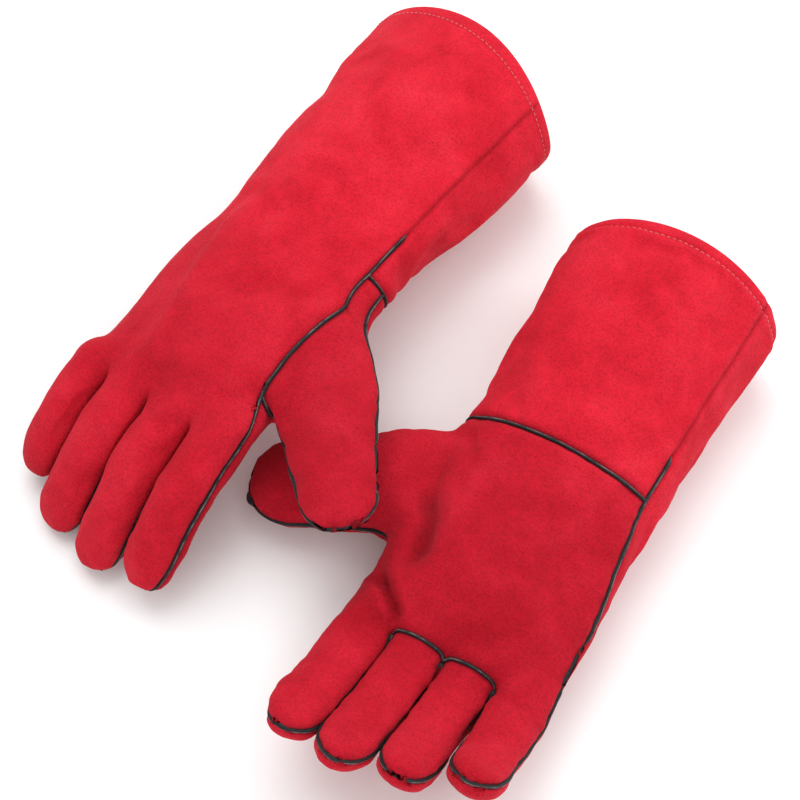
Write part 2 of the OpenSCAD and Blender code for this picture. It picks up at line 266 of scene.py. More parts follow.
def glove_cage(g):
    cage, fingers = Cage(), FINGERS[g]
    knuckle_points = knuckles(fingers)
    thumb_rows = THUMB_ROWS[g]
    ys = [(y, d) for y, d in HEM_ROWS] + [(y, 0) for y in CUFF_ROWS]
    ys += [(y, 0) for y in thumb_rows] + [(LAST_ROWS[g], 0)]
    rows = []
    hole = range(len(ys) - 5, len(ys) - 2)      # the rows between the ends of the thumb hole
    for i, (y, depth) in enumerate(ys):
        angles = column_angles(min(y, CUFF), knuckle_points)
        row = []
        for j in range(COLUMNS):
            if i in hole and j == SIDE_COLUMN:
                row.append(None)
                continue
            p = body_point(y, angles[j], depth)
            if y > 0:
                along, thumb_side, pinky_side = CUFF_STRETCH[g]
                across = thumb_side if p[0] > 0 else pinky_side
                p[1] *= 1 + (along - 1) * smooth(y / 60)
                p[1] -= CUFF_SKEW[g] * p[0] * smooth(y / CUFF)
                p[0] *= 1 + (across - 1) * smooth(y / CUFF)
                p[2] = -10 + (p[2] + 10) * (1 + (thumb_side - 1) * smooth(y / CUFF))
            elif p[0] < 0:
                p[0] *= 1 + (PINKY_EDGE[g] - 1) * smooth((-45 - y) / 50)
            if j in (SIDE_COLUMN, PALM_SIDE_COLUMN) and -30 < y < 5:
                p[0] += HEEL
            if y < -85 and j in VALLEYS_TOP + VALLEYS_BOTTOM:
                p[2] += (-1.2 if j < PINKY_SEAM_COLUMN else 1.2) * smooth((-85 - y) / 20)
            row.append(cage.add(p))
        rows.append(row)
    rows.append([cage.add(p) for p in knuckle_points])
    wrist = len(HEM_ROWS) + len(CUFF_ROWS) - 1
    first, last = wrist + 1, wrist + 5
    for i, (r0, r1) in enumerate(zip(rows, rows[1:])):
        for j in range(COLUMNS):
            k = (j + 1) % COLUMNS
            if first <= i < last and j in (PALM_SIDE_COLUMN, SIDE_COLUMN):
                continue
            if j < PINKY_SEAM_COLUMN:
                panel = "back"
            elif i < wrist:
                panel = "cuff_front"
            elif j == SIDE_COLUMN and i < first:
                panel = "thumb_root"
            else:
                panel = "palm"
            if i < len(HEM_ROWS) - 1:
                (cage.flap if i < 2 else cage.hem).append(len(cage.faces))
            cage.face(panel, r0[j], r0[k], r1[k], r1[j])
    # fingers
    webs = [cage.add([(fingers[k][0][0] + fingers[k + 1][0][0]) / 2, -HAND - 7, HINGE_Z + 3]) for k in range(3)]
    knuckle = rows[-1]
    for k, finger in enumerate(fingers):
        ring = knuckle_ring(k)
        ids = []
        for i, j in enumerate(ring):
            ids.append(knuckle[j] if j is not None else webs[k if i == 6 else k - 1])
        front = (7, 8, 9, 10, 11, 0) if k == 0 else (7, 8, 9, 10)
        us = [0.13, 0.32, 0.54, 0.77, 1.0, 1.36, 1.68]
        rings, pole = tube_rings(cage, finger, CURLS[g][k], FINGER_ANGLES[k], ids, us, [0] * 7, front, DIGITS[k], 1.045)
        a, b = (1, 7) if k == 0 else (11, 7)
        cage.chains[DIGITS[k]] = [r[a] for r in rings] + [pole] + [r[b] for r in reversed(rings)]
    # thumb
    top = [rows[i][0] for i in range(first, last + 1)]
    bottom = [rows[i][PALM_SIDE_COLUMN] for i in range(first, last + 1)]
    ids = [rows[first][SIDE_COLUMN]] + top + [rows[last][SIDE_COLUMN]] + bottom[::-1]
    us = [0.10, 0.32, 0.55, 0.78, 1.0, 1.36, 1.68]
    skews = [0.25, 0.17, 0.09, 0.03, 0, 0, 0]
    rings, pole = tube_rings(cage, THUMBS[g], CURLS[g][4], THUMB_ANGLES, ids, us, skews, range(6, 12), "thumb", 1.045)
    cage.chains["thumb"] = [r[0] for r in rings] + [pole] + [r[6] for r in reversed(rings)] + [top[-1]]
    # seams of the hand and cuff
    cuff_rows = [i for i, (y, d) in enumerate(ys) if y <= CUFF and d == 0]
    welted = [i for i in range(len(rows)) if i >= wrist - 2]
    plain = [i for i in cuff_rows if i <= wrist - 2]
    cage.chains["thumb_side"] = [rows[i][0] for i in welted]
    cage.chains["pinky_side"] = [rows[i][PINKY_SEAM_COLUMN] for i in welted]
    cage.chains["thumb_side_plain"] = [rows[i][0] for i in [len(HEM_ROWS) - 2] + plain]
    cage.chains["pinky_side_plain"] = [rows[i][PINKY_SEAM_COLUMN] for i in [len(HEM_ROWS) - 2] + plain]
    cage.chains["wrist"] = [rows[wrist][j % COLUMNS] for j in range(PINKY_SEAM_COLUMN, COLUMNS + 1)]
    cage.chains["thumb_root"] = [rows[wrist][SIDE_COLUMN], rows[first][SIDE_COLUMN]]
    cage.chains["finger_base"] = [knuckle[j] for j in range(22, 31)]
    hem = rows[len(HEM_ROWS) - 1]
    cage.chains["hem"] = [hem[j % COLUMNS] for j in range(COLUMNS + 1)]
    cage.chains["mouth"] = [rows[0][j % COLUMNS] for j in range(COLUMNS + 1)]
    return cage


# ----------------------------------------------------------------------------------------------------- subdivision
def subdivided(v, faces, panels, chains):
    """One step of Catmull-Clark. v holds a row of numbers for each point; faces all have the same number of corners
    within a group, and faces is a list of such groups, with panels to match."""
    n = len(v)
    centres, corners, edge_pairs, edge_faces = [], [], [], []
    at = 0
    for f in faces:
        centres.append(v[f].mean(1))
        for i in range(f.shape[1]):
            edge_pairs.append(np.stack([f[:, i], f[:, (i + 1) % f.shape[1]]], 1))
            edge_faces.append(np.arange(at, at + len(f)))
        at += len(f)
    centres = np.concatenate(centres)
    pairs = np.sort(np.concatenate(edge_pairs), 1)
    face_of = np.concatenate(edge_faces)
    keys, inverse = np.unique(pairs[:, 0].astype(np.int64) * n + pairs[:, 1], return_inverse=True)
    ends = np.stack([keys // n, keys % n], 1)
    count = np.bincount(inverse)
    total = np.zeros((len(keys), v.shape[1]))
    np.add.at(total, inverse, centres[face_of])
    middle = v[ends].mean(1)
    inner = (count == 2)[:, None]
    edge_points = np.where(inner, (v[ends].sum(1) + total) / 4, middle)
    # new places of the old points
    valence = np.zeros(n)
    np.add.at(valence, ends.ravel(), 1)
    q, r, faces_at = np.zeros_like(v), np.zeros_like(v), np.zeros(n)
    at = 0
    for f in faces:
        for i in range(f.shape[1]):
            np.add.at(q, f[:, i], centres[at:at + len(f)])
            np.add.at(faces_at, f[:, i], 1)
        at += len(f)
    for i in range(2):
        np.add.at(r, ends[:, i], middle)
    m = np.maximum(valence, 1)[:, None]
    moved = (q / np.maximum(faces_at, 1)[:, None] + 2 * r / m + (m - 3) * v) / m
    edge_of_rim = ends[count == 1]
    rim = np.zeros(n, bool)
    rim[edge_of_rim.ravel()] = True
    near = np.zeros_like(v)
    for a, b in ((0, 1), (1, 0)):
        np.add.at(near, edge_of_rim[:, a], v[edge_of_rim[:, b]])
    moved[rim] = v[rim] * 0.75 + near[rim] / 8
    out = np.concatenate([moved, edge_points, centres])
    quads, owners, at, slot_at = [], [], 0, 0
    for f, p in zip(faces, panels):
        k = f.shape[1]
        e = n + inverse[slot_at:slot_at + k * len(f)].reshape(k, len(f)).T
        c = n + len(keys) + np.arange(at, at + len(f))
        for i in range(k):
            quads.append(np.stack([f[:, i], e[:, i], c, e[:, i - 1]], 1))
            owners.append(p)
        at += len(f)
        slot_at += k * len(f)
    lookup = dict(zip(keys.tolist(), range(len(keys))))
    finer = {}
    for name, chain in chains.items():
        new = [chain[0]]
        for a, b in zip(chain, chain[1:]):
            new += [n + lookup[min(a, b) * n + max(a, b)], b]
        finer[name] = new
    return out, [np.concatenate(quads)], [np.concatenate(owners)], finer


def normals_of(v, quads):
    d = np.cross(v[quads[:, 2]] - v[quads[:, 0]], v[quads[:, 3]] - v[quads[:, 1]])
    n = np.zeros_like(v)
    for i in range(4):
        np.add.at(n, quads[:, i], d)
    return n / np.maximum(np.linalg.norm(n, axis=1, keepdims=True), 1e-12)


# ------------------------------------------------------------------------------------------------------- materials
def material(name, colour, rough, sheen=0.0, sheen_tint=(1, 1, 1, 1)):
    m = bpy.data.materials.new(name)
    m.use_nodes = True
    m.diffuse_color = (*colour, 1)
    shader = m.node_tree.nodes["Principled BSDF"]
    shader.inputs["Base Color"].default_value = (*colour, 1)
    shader.inputs["Roughness"].default_value = rough
    shader.inputs["Sheen Weight"].default_value = sheen
    shader.inputs["Sheen Roughness"].default_value = 0.45
    shader.inputs["Sheen Tint"].default_value = sheen_tint
    return m, m.node_tree, shader


def node(tree, kind, **values):
    made = tree.nodes.new(kind)
    for key, value in values.items():
        if key.startswith("in_"):
            made.inputs[int(key[3:]) if key[3:].isdigit() else key[3:].replace("_", " ")].default_value = value
        else:
            setattr(made, key, value)
    return made


def rest_place(tree):
    """The point's place at rest, so that a texture stays on the leather when it bends."""
    return node(tree, "ShaderNodeAttribute", attribute_name="rest").outputs["Vector"]


def noise_at(tree, place, scale, detail=3.0, rough=0.55, distortion=0.0):
    n = node(tree, "ShaderNodeTexNoise", in_Scale=scale, in_Detail=detail, in_Roughness=rough, in_Distortion=distortion)
    tree.links.new(place, n.inputs["Vector"])
    return n.outputs["Fac"]


def ramp(tree, value, stops):
    r = node(tree, "ShaderNodeValToRGB")
    while len(r.color_ramp.elements) < len(stops):
        r.color_ramp.elements.new(0.5)
    for e, (at, colour) in zip(r.color_ramp.elements, stops):
        e.position, e.color = at, (*colour, 1)
    tree.links.new(value, r.inputs["Fac"])
    return r.outputs["Color"]


def mix_colour(tree, kind, a, b, factor):
    """Mixes two colours: a and b are sockets or colours, and factor a socket or number."""
    m = node(tree, "ShaderNodeMix", data_type="RGBA", blend_type=kind)
    colour_in = [s for s in m.inputs if s.type == "RGBA"]
    for value, socket in ((factor, m.inputs[0]), (a, colour_in[0]), (b, colour_in[1])):
        if isinstance(value, bpy.types.NodeSocket):
            tree.links.new(value, socket)
        else:
            socket.default_value = value
    return next(s for s in m.outputs if s.type == "RGBA")


def bumped(tree, shader, parts):
    """Bump from several heights: each is (value, strength, distance in metres)."""
    last = None
    for value, strength, distance in parts:
        b = node(tree, "ShaderNodeBump", in_Strength=strength, in_Distance=distance)
        tree.links.new(value, b.inputs["Height"])
        if last is not None:
            tree.links.new(last, b.inputs["Normal"])
        last = b.outputs["Normal"]
    tree.links.new(last, shader.inputs["Normal"])


def suede():
    m, tree, shader = material("suede", (0.62, 0.010, 0.030), 0.95, 0.12, (1.0, 0.20, 0.26, 1))
    place = rest_place(tree)
    patches = noise_at(tree, place, 28, 4, 0.6, 0.4)
    clouds = noise_at(tree, place, 90, 4, 0.6)
    nap = noise_at(tree, place, 800, 3, 0.7)
    fibre = noise_at(tree, place, 1700, 2, 0.6)
    colour = ramp(tree, patches, [
        (0.30, (0.60, 0.008, 0.023)), (0.50, (0.70, 0.013, 0.033)), (0.72, (0.78, 0.023, 0.047))])
    cloud = ramp(tree, clouds, [(0.28, (0.85, 0.83, 0.83)), (0.62, (1.0, 1.0, 1.0))])
    colour = mix_colour(tree, "MULTIPLY", colour, cloud, 0.75)
    grain = ramp(tree, nap, [(0.36, (0.64, 0.56, 0.58)), (0.50, (0.90, 0.88, 0.89)), (0.64, (1.0, 1.0, 1.0))])
    colour = mix_colour(tree, "MULTIPLY", colour, grain, 0.8)
    # Painted shade: the suede is darker and redder from the cuffs towards the knuckles and on the palm side, paler at
    # the cuffs
    depth = node(tree, "ShaderNodeAttribute", attribute_name="shade").outputs["Fac"]
    colour = mix_colour(tree, "MULTIPLY", colour, (0.68, 0.42, 0.58, 1), depth)
    # Darker along the seams and the hem, and painted shade in the folds
    seam = node(tree, "ShaderNodeAttribute", attribute_name="seam").outputs["Fac"]
    dark = ramp(tree, seam, [(0.0, (1, 1, 1)), (1.0, (0.55, 0.45, 0.45))])
    colour = mix_colour(tree, "MULTIPLY", colour, dark, 1.0)
    tree.links.new(colour, shader.inputs["Base Color"])
    rough = node(tree, "ShaderNodeMapRange", in_3=0.82, in_4=1.0)
    tree.links.new(nap, rough.inputs["Value"])
    tree.links.new(rough.outputs["Result"], shader.inputs["Roughness"])
    shader.inputs["Specular IOR Level"].default_value = 0.15
    bumped(tree, shader, [(clouds, 0.25, 0.0012), (nap, 0.8, 0.0009), (fibre, 0.5, 0.0004)])
    return m


def welt_leather():
    m, tree, shader = material("welt_leather", (0.022, 0.022, 0.025), 0.42)
    place = rest_place(tree)
    grain = noise_at(tree, place, 900, 3, 0.6)
    wear = noise_at(tree, place, 130, 4, 0.7)
    edge = node(tree, "ShaderNodeAttribute", attribute_name="edge").outputs["Fac"]
    broken_pale_line = node(tree, "ShaderNodeMath", operation="MULTIPLY")
    tree.links.new(edge, broken_pale_line.inputs[0])
    tree.links.new(ramp(tree, wear, [(0.42, (0.08, 0.08, 0.08)), (0.62, (1, 1, 1))]), broken_pale_line.inputs[1])
    dark = ramp(tree, grain, [(0.3, (0.006, 0.006, 0.007)), (0.7, (0.022, 0.021, 0.024))])
    # a pale line along the welt's top, broken up by noise
    colour = mix_colour(tree, "MIX", dark, (0.26, 0.17, 0.17, 1), broken_pale_line.outputs[0])
    tree.links.new(colour, shader.inputs["Base Color"])
    shader.inputs["Specular IOR Level"].default_value = 0.22
    rough = node(tree, "ShaderNodeMapRange", in_3=0.45, in_4=0.75)
    tree.links.new(wear, rough.inputs["Value"])
    tree.links.new(rough.outputs["Result"], shader.inputs["Roughness"])
    bumped(tree, shader, [(grain, 0.5, 0.0003)])
    return m


def cotton():
    m, tree, shader = material("cotton", (0.68, 0.64, 0.56), 0.95, 0.25)
    place = rest_place(tree)
    split = node(tree, "ShaderNodeSeparateXYZ")
    tree.links.new(place, split.inputs[0])
    heights = []
    for axis in "XYZ":
        wave = node(tree, "ShaderNodeMath", operation="SINE")
        scaled = node(tree, "ShaderNodeMath", operation="MULTIPLY", in_1=2 * math.pi / 0.0016)
        tree.links.new(split.outputs[axis], scaled.inputs[0])
        tree.links.new(scaled.outputs[0], wave.inputs[0])
        heights.append(wave.outputs[0])
    first = node(tree, "ShaderNodeMath", operation="MULTIPLY")
    tree.links.new(heights[0], first.inputs[0])
    tree.links.new(heights[1], first.inputs[1])
    weave = node(tree, "ShaderNodeMath", operation="ADD")
    tree.links.new(first.outputs[0], weave.inputs[0])
    tree.links.new(heights[2], weave.inputs[1])
    mottle = noise_at(tree, place, 60, 4, 0.6)
    fuzz = noise_at(tree, place, 1300, 2, 0.6)
    colour = ramp(tree, mottle, [(0.3, (0.56, 0.52, 0.44)), (0.7, (0.74, 0.70, 0.62))])
    tree.links.new(colour, shader.inputs["Base Color"])
    bumped(tree, shader, [(weave.outputs[0], 0.35, 0.0003), (fuzz, 0.4, 0.0003)])
    return m


def thread():
    m, tree, shader = material("thread", (0.72, 0.10, 0.12), 0.6, 0.2)
    place = rest_place(tree)
    twist = noise_at(tree, place, 2500, 1, 0.5)
    colour = ramp(tree, twist, [(0.3, (0.48, 0.035, 0.05)), (0.7, (0.80, 0.16, 0.18))])
    tree.links.new(colour, shader.inputs["Base Color"])
    bumped(tree, shader, [(twist, 0.5, 0.0002)])
    return m


MATERIALS = {"suede": suede(), "welt": welt_leather(), "lining": cotton(), "thread": thread()}


# ------------------------------------------------------------------------------------------------------ the pieces
class Place:
    """Turns points of a glove's own frame, in millimetres, into the shared frame in metres."""

    def __init__(self, g):
        move, turn = PLACE[g]
        self.move = np.array(move, float)
        self.turn = np.array(Euler([math.radians(a) for a in turn], "XYZ").to_matrix())

    def __call__(self, v):
        return (np.atleast_2d(v) @ self.turn.T + self.move) * MM

    def back(self, v):
        return (np.atleast_2d(v) / MM - self.move) @ self.turn

    def one(self, p):
        return tuple(self(np.array(p, float))[0])


def made(name, v, faces, kind, normals=None, **attributes):
    """A mesh piece from points in metres, with its rest place and other numbers for the material."""
    mesh = bpy.data.meshes.new(name)
    mesh.from_pydata([tuple(p) for p in v], [], [tuple(int(i) for i in f) for f in faces])
    mesh.update()
    rest = mesh.attributes.new("rest", "FLOAT_VECTOR", "POINT")
    rest.data.foreach_set("vector", np.asarray(v, np.float32).ravel())
    for key, value in attributes.items():
        mesh.attributes.new(key, "FLOAT", "POINT").data.foreach_set("value", np.asarray(value, np.float32))
    mesh.polygons.foreach_set("use_smooth", [True] * len(mesh.polygons))
    if normals is not None:
        mesh.normals_split_custom_set_from_vertices([tuple(n) for n in normals])
    mesh.materials.append(MATERIALS[kind])
    obj = bpy.data.objects.new(name, mesh)
    bpy.context.scene.collection.objects.link(obj)
    return obj


def shell_piece(name, place, v, normals, quads, top, bottom, kind, **attributes):
    """A closed piece of one panel: its outer surface top mm below v, its inner one bottom mm below, and the rim."""
    used, local = np.unique(quads, return_inverse=True)
    q = local.reshape(quads.shape)
    n = len(used)
    top, bottom = (np.broadcast_to(d, len(v))[used, None] for d in (top, bottom))
    pairs = np.concatenate([q[:, [i, (i + 1) % 4]] for i in range(4)])
    key = np.sort(pairs, 1)
    key = key[:, 0].astype(np.int64) * n + key[:, 1]
    _, first, count = np.unique(key, return_index=True, return_counts=True)
    rim = pairs[first[count == 1]]
    walls = np.stack([rim[:, 1], rim[:, 0], rim[:, 0] + n, rim[:, 1] + n], 1)
    faces = np.concatenate([q, q[:, ::-1] + n, walls])
    outer = v[used] - normals[used] * top
    inner = v[used] - normals[used] * bottom
    turned = normals[used] @ place.turn.T
    both = {k: np.concatenate([a[used], a[used]]) for k, a in attributes.items()}
    return made(name, place(np.concatenate([outer, inner])), faces, kind, np.concatenate([turned, -turned]), **both)


def resampled(points, values, step):
    """The polyline at even steps, with the values there."""
    d = np.concatenate([[0], np.cumsum(np.linalg.norm(np.diff(points, axis=0), axis=1))])
    n = max(2, int(round(d[-1] / step)) + 1)
    at = np.linspace(0, d[-1], n)
    p = np.stack([np.interp(at, d, points[:, i]) for i in range(3)], 1)
    w = np.stack([np.interp(at, d, values[:, i]) for i in range(3)], 1)
    return p, w / np.linalg.norm(w, axis=1, keepdims=True), at


# The welt's profile: across the seam and above it, in mm, and how much of the pale line along its top shows
WELT_PROFILE = [(-0.9, -1.2, 0), (-1.05, 0.2, 0), (-1.0, 1.0, 0), (-0.7, 1.6, 0), (-0.3, 1.85, 0), (0.0, 1.9, 0.1),
                (0.2, 1.88, 0.9), (0.4, 1.82, 0.9), (0.6, 1.68, 0.0), (1.0, 1.1, 0), (1.05, 0.2, 0), (0.9, -1.2, 0)]


def welt_parts(points, normals, seed, fade=(1, 1), width=1.0, squeezed=False):
    """A welt along a seam: points at its foot, faces, and the share of the pale line. A squeezed one stands out only
    round a fingertip, at the middle of its line."""
    p, n, at = resampled(points, normals, 1.6)
    for _ in range(2):
        p[1:-1] = (p[:-2] + 2 * p[1:-1] + p[2:]) / 4
        n[1:-1] = (n[:-2] + 2 * n[1:-1] + n[2:]) / 4
    t = np.gradient(p, axis=0)
    t /= np.linalg.norm(t, axis=1, keepdims=True)
    b = np.cross(t, n)
    b /= np.linalg.norm(b, axis=1, keepdims=True)
    m = len(WELT_PROFILE)
    v, edge = [], []
    for i in range(len(p)):
        left, right = at[i], at[-1] - at[i]
        size = min(1.0, 0.25 + left / 6) if fade[0] else 1.0
        size *= min(1.0, 0.25 + right / 6) if fade[1] else 1.0
        wave = noise.noise(Vector((at[i] / 11, seed * 7.3, 0.4)))
        lean = noise.noise(Vector((at[i] / 23, seed * 3.1, 5.4))) * 0.5
        wide = (1 + 0.22 * noise.noise(Vector((at[i] / 17, seed * 5.7, 9.1)))) * width
        press = smooth((abs(at[i] - at[-1] / 2) - 30) / 14) if squeezed else 0.0
        for x, h, e in WELT_PROFILE:
            up = h * size * (1 + 0.12 * wave) * (1 - 0.75 * press)
            v.append(p[i] + b[i] * (x * size * wide + lean * max(0.0, h) * 0.5) + n[i] * up)
            edge.append(e)
    faces = []
    for i in range(len(p) - 1):
        for j in range(m):
            k = (j + 1) % m
            faces.append((i * m + j, i * m + k, (i + 1) * m + k, (i + 1) * m + j))
    faces.append(tuple(range(m))[::-1])
    faces.append(tuple((len(p) - 1) * m + j for j in range(m)))
    return np.array(v), faces, edge


def oriented(v, faces):
    """The faces turned over if the closed shape is inside out."""
    volume = 0.0
    for f in faces:
        for a, b in zip(f[1:], f[2:]):
            volume += float(np.dot(v[f[0]], np.cross(v[a], v[b])))
    return faces if volume > 0 else [tuple(reversed(f)) for f in faces]


def welt_piece(name, place, parts):
    v, faces, edge = [], [], []
    for pv, pf, pe in parts:
        pf = oriented(pv, pf)
        faces += [tuple(i + len(v) for i in f) for f in pf]
        v += list(pv)
        edge += list(pe)
    return made(name, place(np.array(v)), faces, "welt", edge=edge)


def stitches(name, place, points, normals, pitch, length, radius, lift):
    """Short rounded stitches along a line on the leather."""
    p, n, at = resampled(points, normals, pitch)
    t = np.gradient(p, axis=0)
    t /= np.linalg.norm(t, axis=1, keepdims=True)
    v, faces = [], []
    rings = [(-0.5, 0.35), (-0.36, 0.85), (0, 1.0), (0.36, 0.85), (0.5, 0.35)]
    for i in range(len(p)):
        b = np.cross(t[i], n[i])
        start = len(v)
        for along, share in rings:
            for k in range(6):
                a = math.pi / 3 * k
                dip = -0.45 * (abs(along) / 0.5) ** 2
                around = (b * math.cos(a) + n[i] * math.sin(a)) * radius * share
                v.append(p[i] + t[i] * along * length + around + n[i] * (lift + dip))
        for r in range(len(rings) - 1):
            for k in range(6):
                o = start + r * 6
                faces.append((o + k, o + (k + 1) % 6, o + 6 + (k + 1) % 6, o + 6 + k))
        faces.append(tuple(start + k for k in range(6))[::-1])
        faces.append(tuple(start + 24 + k for k in range(6)))
    v = np.array(v)
    return made(name, place(v), faces, "thread")


# --------------------------------------------------------------------------------------------------- cloth and folds
def cloth_pass(v, quads, pins, caps):
    """Puffs the panels out between their seams. Returns the capped move of each point, in mm."""
    mesh = bpy.data.meshes.new("cloth_pass")
    mesh.from_pydata([tuple(p * MM) for p in v], [], [tuple(int(i) for i in f) for f in quads])
    obj = bpy.data.objects.new("cloth_pass", mesh)
    bpy.context.scene.collection.objects.link(obj)
    group = obj.vertex_groups.new(name="pin")
    group.add([int(i) for i in pins], 1.0, "REPLACE")
    mod = obj.modifiers.new("Cloth", "CLOTH")
    s = mod.settings
    s.quality, s.mass = 6, 0.35
    s.tension_stiffness = s.compression_stiffness = 12
    s.shear_stiffness, s.bending_stiffness = 4, 0.6
    s.tension_damping = s.compression_damping = s.shear_damping = 8
    s.bending_damping = 1
    s.air_damping = 3
    s.use_pressure, s.uniform_pressure_force = True, 4
    s.shrink_min = -0.035
    s.vertex_group_mass = "pin"
    s.effector_weights.gravity = 0
    mod.collision_settings.use_collision = False
    mod.collision_settings.use_self_collision = False
    mod.point_cache.frame_start, mod.point_cache.frame_end = 1, 20
    scene = bpy.context.scene
    for f in range(1, 21):
        scene.frame_set(f)
    shape = obj.evaluated_get(bpy.context.evaluated_depsgraph_get())
    co = np.zeros(len(v) * 3)
    shape.data.vertices.foreach_get("co", co)
    scene.frame_set(1)
    bpy.data.objects.remove(obj)
    bpy.data.meshes.remove(mesh)
    move = co.reshape(-1, 3) / MM - v
    move[~np.isfinite(move).all(1)] = 0
    size = np.linalg.norm(move, axis=1)
    return move * (np.tanh(size / caps) * caps / np.maximum(size, 1e-9))[:, None]


def relaxed(values, quads, rounds):
    """Averages numbers over neighbouring points."""
    pairs = np.concatenate([quads[:, [i, (i + 1) % 4]] for i in range(4)])
    for _ in range(rounds):
        total, count = np.zeros_like(values), np.zeros(len(values))
        for a, b in ((0, 1), (1, 0)):
            np.add.at(total, pairs[:, a], values[pairs[:, b]])
            np.add.at(count, pairs[:, a], 1)
        values = 0.5 * values + 0.5 * total / np.maximum(count, 1)[:, None]
    return values


def distance_to(lines, v):
    """Distance in mm from each point to the nearest of the lines' points, and how far along its line that is."""
    points, along = [], []
    for k, line in enumerate(lines):
        p, _, at = resampled(line, np.ones_like(line), 0.8)
        points += list(p)
        along += list(at + 1000 * k)
    tree = kdtree.KDTree(len(points))
    for i, p in enumerate(points):
        tree.insert(p, i)
    tree.balance()
    found = [tree.find(p) for p in v]
    return np.array([f[2] for f in found]), np.array([along[f[1]] for f in found])


# Folds in each glove: a line of (x, y) seen from the palm or back, whether it is on the back, depth, width, and lip
FOLDS = [
    [  # palm down
        ([(38, -20), (30, -38), (33, -60)], True, 0.9, 5.0, 0.3),
        ([(-20, -78), (-8, -86), (6, -88)], True, 0.8, 4.0, 0.3),
        ([(-40, 22), (-10, 30), (25, 24)], True, 1.0, 6.0, 0.3),
    ],
    [  # palm up
        ([(57, -46), (49, -53), (42, -63), (38.5, -78), (41, -92)], False, 5.0, 6.5, 2.0),
        ([(54, -93), (47, -100), (38, -107), (31, -112), (29, -119)], False, 6.0, 3.0, 3.0),
        ([(20, -64), (2, -70), (-18, -68)], False, 0.9, 5.0, 0.4),
        ([(28, -88), (8, -94), (-14, -90)], False, 1.0, 4.5, 0.5),
        ([(-30, 24), (0, 30), (30, 20)], False, 1.0, 6.0, 0.3),
    ]]


def fold_depth(g, v, normals):
    depth = np.zeros(len(v))
    for line, on_back, deep, wide, lip in FOLDS[g]:
        line = np.array([(x, y, 0) for x, y in line], float)
        flat = v.copy()
        flat[:, 2] = 0
        side = normals[:, 2] > 0.05 if on_back else normals[:, 2] < -0.05
        near = (np.abs(flat[:, :2] - line[:, :2].mean(0)) < 60).all(1)
        ids = np.nonzero(side & near)[0]
        if len(ids) == 0:
            continue
        d, at = distance_to([line], flat[ids])
        total = np.linalg.norm(np.diff(line, axis=0), axis=1).sum()
        fade = np.clip(np.minimum(at, total - at) / (0.3 * total) + 0.15, 0, 1)
        depth[ids] += fade * (deep * np.exp(-(d / wide) ** 2) - lip * np.exp(-((d - 1.8 * wide) / wide) ** 2))
    return depth


# --------------------------------------------------------------------------------------------------------- a glove
THICK = 1.6                         # leather, mm
LINING_TOP, LINING_BOTTOM = 2.1, 4.3    # the lining's two surfaces below the leather's, mm
FLOOR_BAND, FLOOR_REST = 0.0012, 0.0002     # leather below the first height is pressed flat down to the second, metres
FLAP_FLOOR = 0.0056                 # the flap inside the rim stays above this, metres
HEM_MARK, FLAP_MARK = 64, 128       # added to the panel number of a face
WELTED = ["thumb_side", "pinky_side", "wrist", "thumb_root", "finger_base", "thumb", "index", "middle", "ring", "pinky"]
PLAIN = ["thumb_side_plain", "pinky_side_plain"]
LEVEL = 3


